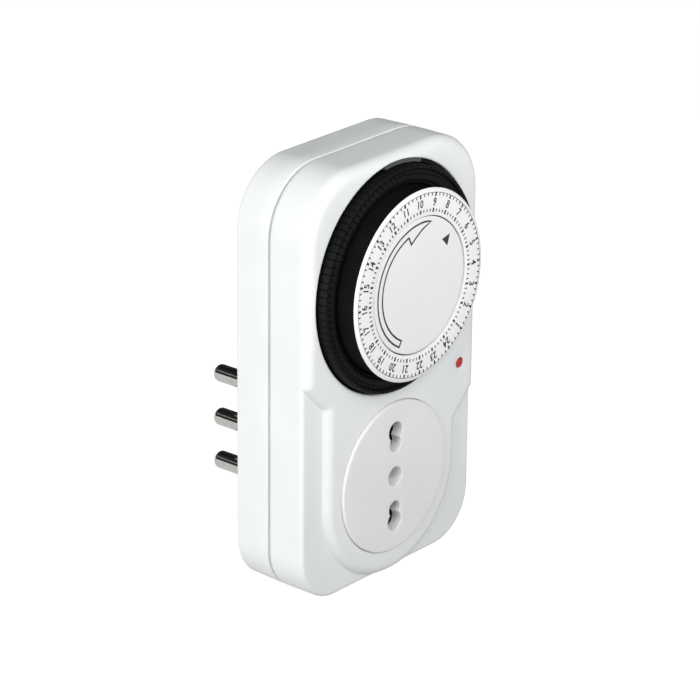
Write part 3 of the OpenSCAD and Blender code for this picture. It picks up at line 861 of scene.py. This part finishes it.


# A thin dark band of ink round the dial, used as painted shade at the face's edge
def ring_line(shape, r, width, y):
    inner = circle_loop(0, DIAL_Z, r - width / 2, 240)
    ink_band(shape, inner, circle_loop(0, DIAL_Z, r + width / 2, 240), y)


def build_scale():
    shape = Builder()
    for i in range(96):
        degrees = FIRST_HOUR + SEGMENT * i
        if i % 4 == 0:
            tick(shape, degrees, 23.85, 24.9, 0.62, FACE_Y)
            tick(shape, degrees, 19.65, 20.75, 0.62, FACE_Y)
        else:
            tick(shape, degrees, 24.05, 24.8, 0.36, FACE_Y)
            tick(shape, degrees, 19.8, 20.6, 0.36, FACE_Y)
    # Painted shade: a thin dark line all round the face's outer edge, where the step down to the bevel
    # is shaded
    ring_line(shape, FACE_R - 0.02, 0.2, FACE_Y)
    return shape.finish("scale_ticks", [black_ink], smooth_deg=20)


place(build_scale(), "dial", "dial_black")


def text_mesh(body, size):
    curve = bpy.data.curves.new("digits", "FONT")
    curve.body = body
    curve.size = size
    curve.align_x = "CENTER"
    curve.align_y = "CENTER"
    curve.resolution_u = 3
    curve.offset = size * 0.022
    holder = bpy.data.objects.new("digits", curve)
    bpy.context.scene.collection.objects.link(holder)
    bpy.context.view_layer.update()
    mesh = bpy.data.meshes.new_from_object(holder.evaluated_get(bpy.context.evaluated_depsgraph_get()))
    bpy.data.objects.remove(holder)
    points = [(v.co.x, v.co.y) for v in mesh.vertices]
    faces = [tuple(p.vertices) for p in mesh.polygons]
    bpy.data.meshes.remove(mesh)
    low = [min(p[k] for p in points) for k in (0, 1)]
    high = [max(p[k] for p in points) for k in (0, 1)]
    middle = [(a + b) / 2 for a, b in zip(low, high)]
    return [(x - middle[0], y - middle[1]) for x, y in points], faces


NUMBER_R = 22.4
NUMBER_HEIGHT = 2.95
NUMBER_SQUEEZE = 0.92    # the digits are a little narrow


def build_numbers():
    """Hours 1 to 24, running anticlockwise, with their tops outwards."""
    shape = Builder()
    for hour in range(1, 25):
        degrees = FIRST_HOUR + 15 * (hour % 24)
        points, faces = text_mesh(str(hour), NUMBER_HEIGHT)
        a = math.radians(degrees)
        out, right = (math.cos(a), math.sin(a)), (math.sin(a), -math.cos(a))
        placed = []
        for u, v in points:
            x = out[0] * (NUMBER_R + v) + right[0] * u * NUMBER_SQUEEZE
            z = DIAL_Z + out[1] * (NUMBER_R + v) + right[1] * u * NUMBER_SQUEEZE
            placed.append((x, FACE_Y - INK, z))
        shape.add(placed, faces)
    return shape.finish("hour_numbers", [black_ink], smooth_deg=20)


place(build_numbers(), "dial", "dial_black")


def ribbon(shape, path, width, y):
    """A closed outline of constant width along a closed flat path."""
    n = len(path)
    inner, outer = [], []
    for i in range(n):
        a, b, c = path[i - 1], path[i], path[(i + 1) % n]
        d1 = Vector((b[0] - a[0], b[1] - a[1])).normalized()
        d2 = Vector((c[0] - b[0], c[1] - b[1])).normalized()
        n1, n2 = Vector((-d1.y, d1.x)), Vector((-d2.y, d2.x))
        mitre = (n1 + n2)
        mitre = mitre / max(0.35, mitre.dot(n1)) if mitre.length > 1e-6 else n1
        inner.append((b[0] - mitre.x * width / 2, b[1] - mitre.y * width / 2))
        outer.append((b[0] + mitre.x * width / 2, b[1] + mitre.y * width / 2))
    ink_band(shape, inner, outer, y)


def arrow_path():
    """Clockwise arrow: its shaft, the barb on its inner side and its point."""
    path = [polar(16.9, a) for a in frange(241.5, 112, 44)]
    path += [polar(16.9 + 0.35 * ((112 - a) / 32) ** 1.2, a) for a in frange(108, 80, 7)]
    path += [polar(17.15, 75.6)]
    path += [polar(15.35, 87), polar(13.85, 97), polar(12.8, 106.5)]
    path += [polar(15.15, 108)]
    path += [polar(15.1, a) for a in frange(112, 241.5, 44)]
    return path


def build_arrow():
    shape = Builder()
    ribbon(shape, arrow_path(), 0.5, PLATE_Y)
    corners = [polar(16.5, 42.4), polar(13.75, 49.2), polar(13.75, 35.6)]
    ink_quad(shape, corners, PLATE_Y)
    return shape.finish("arrow_print", [black_ink], smooth_deg=20)


place(build_arrow(), "case", "dial_black")


# ---------------------------------------------------------------------------
# Tappets: four to an hour, each with a rounded rim, a finger groove and a step
# ---------------------------------------------------------------------------
TAPPET_PROFILE = [
    (TAPPET_IN_R, TAPPET_END_Y), (TAPPET_IN_R, -41.5), (28.3, -41.5), (28.3, -45.0),
    (TAPPET_IN_R, -45.0), (TAPPET_IN_R, -45.25), (TAPPET_IN_R + 0.15, -45.4), (26.55, -45.45),
    (26.7, -45.8), (26.95, -46.05), (27.25, -46.1), (28.15, -46.1), (28.4, -45.95), (28.5, -45.55),
    (28.65, -45.4), (29.5, -45.4), (29.65, -45.55), (29.75, -45.95), (29.95, -46.15),
    (30.15, TAPPET_Y), (30.5, TAPPET_Y), (30.7, -46.12), (TAPPET_R, -45.9), (TAPPET_R, TAPPET_END_Y),
]
TAPPET_START = -63    # degrees at which the first group begins
TAPPET_GAP = 0.16     # between neighbours
TAPPET_SOFT = 0.05    # how far the edges of a tappet are broken
TAPPET_MID_R = 28.3


def build_tappets(hour):
    shape = Builder()
    half = math.radians(SEGMENT / 2)
    n = len(TAPPET_PROFILE)
    for i in range(4):
        a = math.radians(TAPPET_START + 15 * hour + SEGMENT * (i + 0.5))
        out, side = (math.cos(a), math.sin(a)), (-math.sin(a), math.cos(a))
        rings = []
        for share, at_end in ((-1, True), (-1, False), (1, False), (1, True)):
            ring = []
            for r, y in TAPPET_PROFILE:
                width = r * math.tan(half) - TAPPET_GAP / 2
                if at_end:
                    r += (TAPPET_MID_R - r) * 0.03
                    y += 0.07 if y < -44.5 else 0
                else:
                    width -= TAPPET_SOFT
                w = share * width
                ring.append((r * out[0] + w * side[0], y, DIAL_Z + r * out[1] + w * side[1]))
            rings.append(ring)
        shape.stack(rings)
        shape.add(rings[0], [tuple(range(n))])
        shape.add(rings[3], [tuple(range(n))])
    return shape.finish(f"tappet_set_{hour:02d}", [dial_black], smooth_deg=50)


for hour in range(24):
    node = f"tappets_{hour:02d}"
    place(build_tappets(hour), node, "dial_black", node)


# ---------------------------------------------------------------------------
# Index arc at the top of the dial's opening, in two tones: a grey sector that paints a lit patch, and a
# black sector that paints shade
# ---------------------------------------------------------------------------
def build_index():
    shape = Builder()
    front, back = -43.6, -38.2

    def sector(start, end, mark, y0):
        angles = frange(start, end, 16)
        inner = [polar(TAPPET_R + 0.3, a) for a in angles]
        outer = []
        for a in angles:
            ca, sa = math.cos(math.radians(a)), math.sin(math.radians(a))
            shift = OPENING_Z - DIAL_Z
            r = shift * sa + math.sqrt((OPENING_R - 0.04) ** 2 - (shift * ca) ** 2)
            outer.append(polar(r, a))
        outline = inner + outer[::-1]
        n = len(outline)
        points = at_depth(outline, y0) + at_depth(outline, back)
        faces = [(k, k + 1, n - 2 - k, n - 1 - k) for k in range(16)]
        faces += [(k, (k + 1) % n, n + (k + 1) % n, n + k) for k in range(n)]
        shape.add(points, faces, mark)

    # Black sector, set back a little: painted shade beside the lit patch
    sector(45, 71.5, 1, front + 0.5)
    # Grey sector: painted light, the patch that the top-left light puts on the arc
    sector(71.5, 98, 0, front)
    return shape.finish("index_piece", [index_grey, dial_black], smooth_deg=30)


place(build_index(), "case", "index_grey", "index_arc")


# ---------------------------------------------------------------------------
# Indicator
# ---------------------------------------------------------------------------
def build_lens():
    shape = Builder()
    profile = [(0.02, -44.3), (0.45, -44.28), (0.85, -44.2), (1.15, -44.06), (1.33, -43.85),
               (1.4, -43.5), (1.4, -41.5), (2.3, -41.5), (2.3, -40.7), (0.02, -40.7)]
    shape.stack([at_depth(circle_loop(LENS_X, LENS_Z, r, 40), y) for r, y in profile])
    return shape.finish("indicator", [lens_red], smooth_deg=40)


place(build_lens(), "case", "lens_red", "indicator_lens")


# ---------------------------------------------------------------------------
# Override slider: a thumb pad with grip ridges over the CAD slider's face
# ---------------------------------------------------------------------------
def build_thumb_pad():
    shape = Builder()
    x0, x1 = 34.6, 36.35
    y0, y1 = -36.75, -34.05
    z0, z1 = 54.05, 59.95
    count = 60
    profile = []
    for k in range(count + 1):
        z = z0 + (z1 - z0) * k / count
        end = min(z - z0, z1 - z)
        height = x1 - x0 - quarter(end, 0.45)
        if end > 0.9:
            height -= 0.16 * (1 - math.cos(2 * math.pi * (z - z0 - 0.9) / 0.82)) / 2
        profile.append((z, height))
    rings = []
    drops = ((y0, 0.28), (y0 + 0.1, 0.08), (y0 + 0.28, 0),
             (y1 - 0.28, 0), (y1 - 0.1, 0.08), (y1, 0.28))
    for y, drop in drops:
        top = [(x0 + h - drop, y, z) for z, h in profile]
        rings.append([(x0, y, z0)] + top + [(x0, y, z1)])
    shape.stack(rings)
    n = len(rings[0])
    shape.add(rings[0], [tuple(range(n))])
    shape.add(rings[-1], [tuple(range(n))])
    return shape.finish("override_pad", [red_plastic], smooth_deg=30)


place(build_thumb_pad(), "slider", "plunger_red")


# ---------------------------------------------------------------------------
# CAD nodes that keep their shape get their materials
# ---------------------------------------------------------------------------
KEPT = {
    shutter_dark: ["shutter"],
    spring_steel: ["shutter_spring"],
    brass: ["contact_line", "contact_neutral", "contact_earth", "bus_line", "bus_neutral", "bus_earth",
            "bus_switched", "switch_blade"],
    switch_dark: ["switch_case", "switch_lid"],
    red_plastic: ["switch_plunger", "override_slider"],
    natural: ["switch_lever", "drive_pinion", "mechanism_plate"],
    zinc: ["motor_can", "motor_plate", "case_screws", "plate_screws"],
    copper: ["motor_coil"],
    ferrite: ["motor_rotor"],
    lamp_glass: ["neon_lamp"],
    resistor_tan: ["lamp_resistor"],
}
for material, names in KEPT.items():
    for name in names:
        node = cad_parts[name]
        node.data.materials.clear()
        node.data.materials.append(material)


# ---------------------------------------------------------------------------
# Studio
# ---------------------------------------------------------------------------
def build_world():
    """A white studio: bright on the left and below, softer in front, dimmer above."""
    world = bpy.data.worlds.new("studio")
    bpy.context.scene.world = world
    world.use_nodes = True
    tree = world.node_tree
    tree.nodes.clear()
    out = tree.nodes.new("ShaderNodeOutputWorld")
    coords = tree.nodes.new("ShaderNodeTexCoord")
    split = tree.nodes.new("ShaderNodeSeparateXYZ")
    tree.links.new(coords.outputs["Generated"], split.inputs[0])

    def math_node(op, a, b=None, c=None):
        node = tree.nodes.new("ShaderNodeMath")
        node.operation = op
        for k, v in enumerate((a, b, c)):
            if v is None:
                continue
            if isinstance(v, (int, float)):
                node.inputs[k].default_value = v
            else:
                tree.links.new(v, node.inputs[k])
        return node.outputs[0]

    x, y, z = split.outputs
    # Diffuse light: a tilted gradient
    level = math_node("MULTIPLY_ADD", x, SKY_LEFT, SKY_BASE)
    level = math_node("MULTIPLY_ADD", y, SKY_FRONT, level)
    level = math_node("MULTIPLY_ADD", z, SKY_UP, level)
    level = math_node("MAXIMUM", level, 0.02)
    # Mirror light: dark above and behind, with a bright strip, for the plated pins
    up = math_node("SMOOTH_MIN", math_node("MULTIPLY", math_node("ADD", z, -0.04), 14.0), 1.0, 0.2)
    up = math_node("MAXIMUM", up, 0.0)
    back = math_node("MULTIPLY", math_node("ADD", y, 0.1), 5.0)
    back = math_node("MAXIMUM", math_node("MINIMUM", back, 1.0), 0.0)
    dark = math_node("MULTIPLY", up, back)
    strip = math_node("MULTIPLY", math_node("ABSOLUTE", math_node("ADD", z, -0.52)), 22.0)
    strip = math_node("SUBTRACT", 1.0, math_node("MINIMUM", strip, 1.0))
    dark = math_node("MULTIPLY", dark, math_node("SUBTRACT", 1.0, math_node("MULTIPLY", strip, 0.85)))
    shine = math_node("MULTIPLY", level, math_node("SUBTRACT", 1.0, math_node("MULTIPLY", dark, 0.97)))

    path = tree.nodes.new("ShaderNodeLightPath")

    def background(source, colour):
        mix = tree.nodes.new("ShaderNodeMix")
        mix.data_type = "RGBA"
        mix.blend_type = "MULTIPLY"
        mix.inputs["Factor"].default_value = 1.0
        if isinstance(source, (int, float)):
            mix.inputs["A"].default_value = (source, source, source, 1)
        else:
            join = tree.nodes.new("ShaderNodeCombineColor")
            for k in range(3):
                tree.links.new(source, join.inputs[k])
            tree.links.new(join.outputs[0], mix.inputs["A"])
        mix.inputs["B"].default_value = colour
        node = tree.nodes.new("ShaderNodeBackground")
        tree.links.new(mix.outputs["Result"], node.inputs["Color"])
        return node.outputs[0]

    soft = background(level, (0.975, 0.995, 1.0, 1))
    mirror = background(shine, (1.0, 0.985, 0.97, 1))
    plain = background(1.0, (1, 1, 1, 1))
    first = tree.nodes.new("ShaderNodeMixShader")
    tree.links.new(path.outputs["Is Glossy Ray"], first.inputs[0])
    tree.links.new(soft, first.inputs[1])
    tree.links.new(mirror, first.inputs[2])
    last = tree.nodes.new("ShaderNodeMixShader")
    tree.links.new(path.outputs["Is Camera Ray"], last.inputs[0])
    tree.links.new(first.outputs[0], last.inputs[1])
    tree.links.new(plain, last.inputs[2])
    tree.links.new(last.outputs[0], out.inputs["Surface"])


SKY_BASE = 0.58
SKY_LEFT = -0.50
SKY_FRONT = -0.06
SKY_UP = -0.20
build_world()


def area_light(name, place_mm, aim_mm, size_mm, watts, colour):
    data = bpy.data.lights.new(name, "AREA")
    data.shape = "RECTANGLE"
    data.size, data.size_y = size_mm[0] * MM, size_mm[1] * MM
    data.energy = watts
    data.color = colour
    light = bpy.data.objects.new(name, data)
    spot = Vector(place_mm) * MM
    light.location = spot
    light.rotation_euler = (Vector(aim_mm) * MM - spot).to_track_quat("-Z", "Y").to_euler()
    bpy.context.scene.collection.objects.link(light)


area_light("key_left", (-640, -88, 60), (0, -30, 30), (420, 420), 3.3, (1.0, 0.995, 0.985))
area_light("front_fill", (-15, -260, 190), (0, -44, 60), (150, 150), 0.42, (1.0, 1.0, 1.0))


FLOOR_SEEN = 0.62      # glow of the floor as the camera sees it
FLOOR_SHINE = 0.62     # how bright it is in a mirror
FLOOR_BOUNCE = 0.38    # light that it throws back on the object


def build_floor():
    """Pale floor that lifts itself to white, so that only a faint shadow shows."""
    material, tree, shader = new_material("floor_white")
    shader.inputs["Base Color"].default_value = (0.8, 0.8, 0.8, 1)
    shader.inputs["Roughness"].default_value = 0.9
    shader.inputs["Specular IOR Level"].default_value = 0.0
    shader.inputs["Emission Color"].default_value = (1, 1, 1, 1)
    shader.inputs["Emission Strength"].default_value = FLOOR_SEEN
    add_bump(tree, shader, noise(tree, 0.02), 0.01)
    bounce = tree.nodes.new("ShaderNodeEmission")
    path = tree.nodes.new("ShaderNodeLightPath")
    strength = tree.nodes.new("ShaderNodeMath")
    strength.operation = "MULTIPLY_ADD"
    strength.inputs[1].default_value = FLOOR_SHINE - FLOOR_BOUNCE
    strength.inputs[2].default_value = FLOOR_BOUNCE
    tree.links.new(path.outputs["Is Glossy Ray"], strength.inputs[0])
    tree.links.new(strength.outputs[0], bounce.inputs["Strength"])
    pick = tree.nodes.new("ShaderNodeMixShader")
    tree.links.new(path.outputs["Is Camera Ray"], pick.inputs[0])
    tree.links.new(bounce.outputs[0], pick.inputs[1])
    tree.links.new(shader.outputs[0], pick.inputs[2])
    tree.links.new(pick.outputs[0], tree.nodes["Material Output"].inputs["Surface"])
    shape = Builder()
    reach = 2500.0
    n = 8
    points = [(-reach + 2 * reach * i / n, -reach + 2 * reach * j / n, BOTTOM_Z - 0.05)
              for j in range(n + 1) for i in range(n + 1)]
    faces = [(j * (n + 1) + i, j * (n + 1) + i + 1, (j + 1) * (n + 1) + i + 1, (j + 1) * (n + 1) + i)
             for j in range(n) for i in range(n)]
    shape.add(points, faces)
    floor = shape.finish("floor", [material])


build_floor()


# ---------------------------------------------------------------------------
# Camera: seen from the left and a little above
# ---------------------------------------------------------------------------
CAMERA_TURN = math.radians(49.97)
CAMERA_RISE = math.radians(21.89)
CAMERA_ROLL = math.radians(0.53)
CAMERA_AWAY = 922.5
CAMERA_AIM = Vector((-18.33, FRONT_Y, 41.67))

back = Vector((
    -math.sin(CAMERA_TURN) * math.cos(CAMERA_RISE),
    -math.cos(CAMERA_TURN) * math.cos(CAMERA_RISE),
    math.sin(CAMERA_RISE),
))
level_right = (-back).cross(Vector((0, 0, 1))).normalized()
level_up = level_right.cross(-back)
right = level_right * math.cos(CAMERA_ROLL) + level_up * math.sin(CAMERA_ROLL)
up = level_up * math.cos(CAMERA_ROLL) - level_right * math.sin(CAMERA_ROLL)
camera_data = bpy.data.cameras.new("camera")
camera_data.sensor_width = 36.0
camera_data.lens = 183.3
camera_data.clip_start = 0.05
camera_data.clip_end = 20.0
camera = bpy.data.objects.new("camera", camera_data)
turn = Matrix((right, up, back)).transposed().to_4x4()
camera.matrix_world = Matrix.Translation((CAMERA_AIM + back * CAMERA_AWAY) * MM) @ turn
bpy.context.scene.collection.objects.link(camera)
bpy.context.scene.camera = camera
bpy.context.scene.view_settings.view_transform = "Standard"
